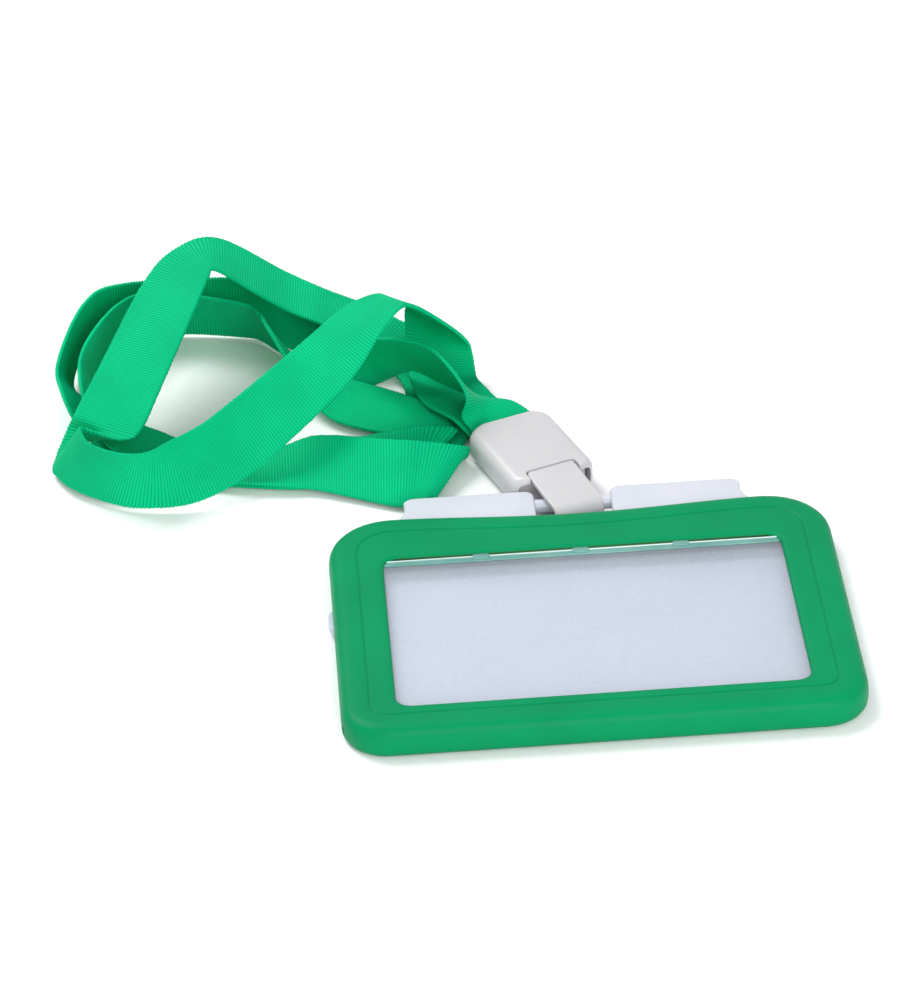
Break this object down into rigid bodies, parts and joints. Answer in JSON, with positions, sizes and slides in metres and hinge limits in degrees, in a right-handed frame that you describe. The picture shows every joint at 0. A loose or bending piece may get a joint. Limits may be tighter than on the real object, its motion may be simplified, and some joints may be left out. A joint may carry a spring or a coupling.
{
  "type": "lanyard badge holder",
  "caption": "Soft-framed card case with a clear window and sliding tray, hanging from a plastic hook clip on a folded woven neck strap.",
  "frame": {"origin": "middle of the case's flat back, under the middle of the window", "axes": "+X to the right across the case, +Y up the case towards the clip, +Z out of the window"},
  "size_m": [0.1655, 0.1701, 0.0332],
  "materials": {
    "soft_frame": "soft satin green moulded plastic",
    "inner_case": "translucent white moulded plastic",
    "clear_window": "clear glossy plastic",
    "card_tray": "translucent white plastic",
    "id_card": "blank white card",
    "clip_plastic": "light warm grey satin plastic",
    "staple_wire": "bright flat wire",
    "strap_weave": "ribbed woven green polyester"
  },
  "bodies": {
    "clip": {"hook_core": "clip_plastic", "strap_staple": "staple_wire", "strap": "strap_weave"},
    "sleeve": {"clip_sleeve": "clip_plastic"},
    "tongue": {"hook_tongue": "clip_plastic"},
    "holder": {"soft_frame": "soft_frame", "inner_case": "inner_case", "clear_window": "clear_window"},
    "tray": {"card_tray": "card_tray", "id_card": "id_card"}
  },
  "joints": [
    {"name": "holder_swing", "type": "hinge", "parent": "clip", "child": "holder", "pos_m": [0, 0.0482, 0.00305], "axis": [-1, 0, 0], "range_deg": [-60, 60]},
    {"name": "sleeve_slide", "type": "slide", "parent": "clip", "child": "sleeve", "axis": [-0.3584, 0.9336, 0], "range_m": [0, 0.003]},
    {"name": "tongue_flex", "type": "hinge", "parent": "clip", "child": "tongue", "pos_m": [0.00145, 0.04322, 0.00305], "axis": [0.9336, 0.3584, 0], "range_deg": [0, 18], "stiffness_Nm_per_rad": 0.02},
    {"name": "tray_slide", "type": "slide", "parent": "holder", "child": "tray", "axis": [-1, 0, 0], "range_m": [0, 0.07]}
  ]
}
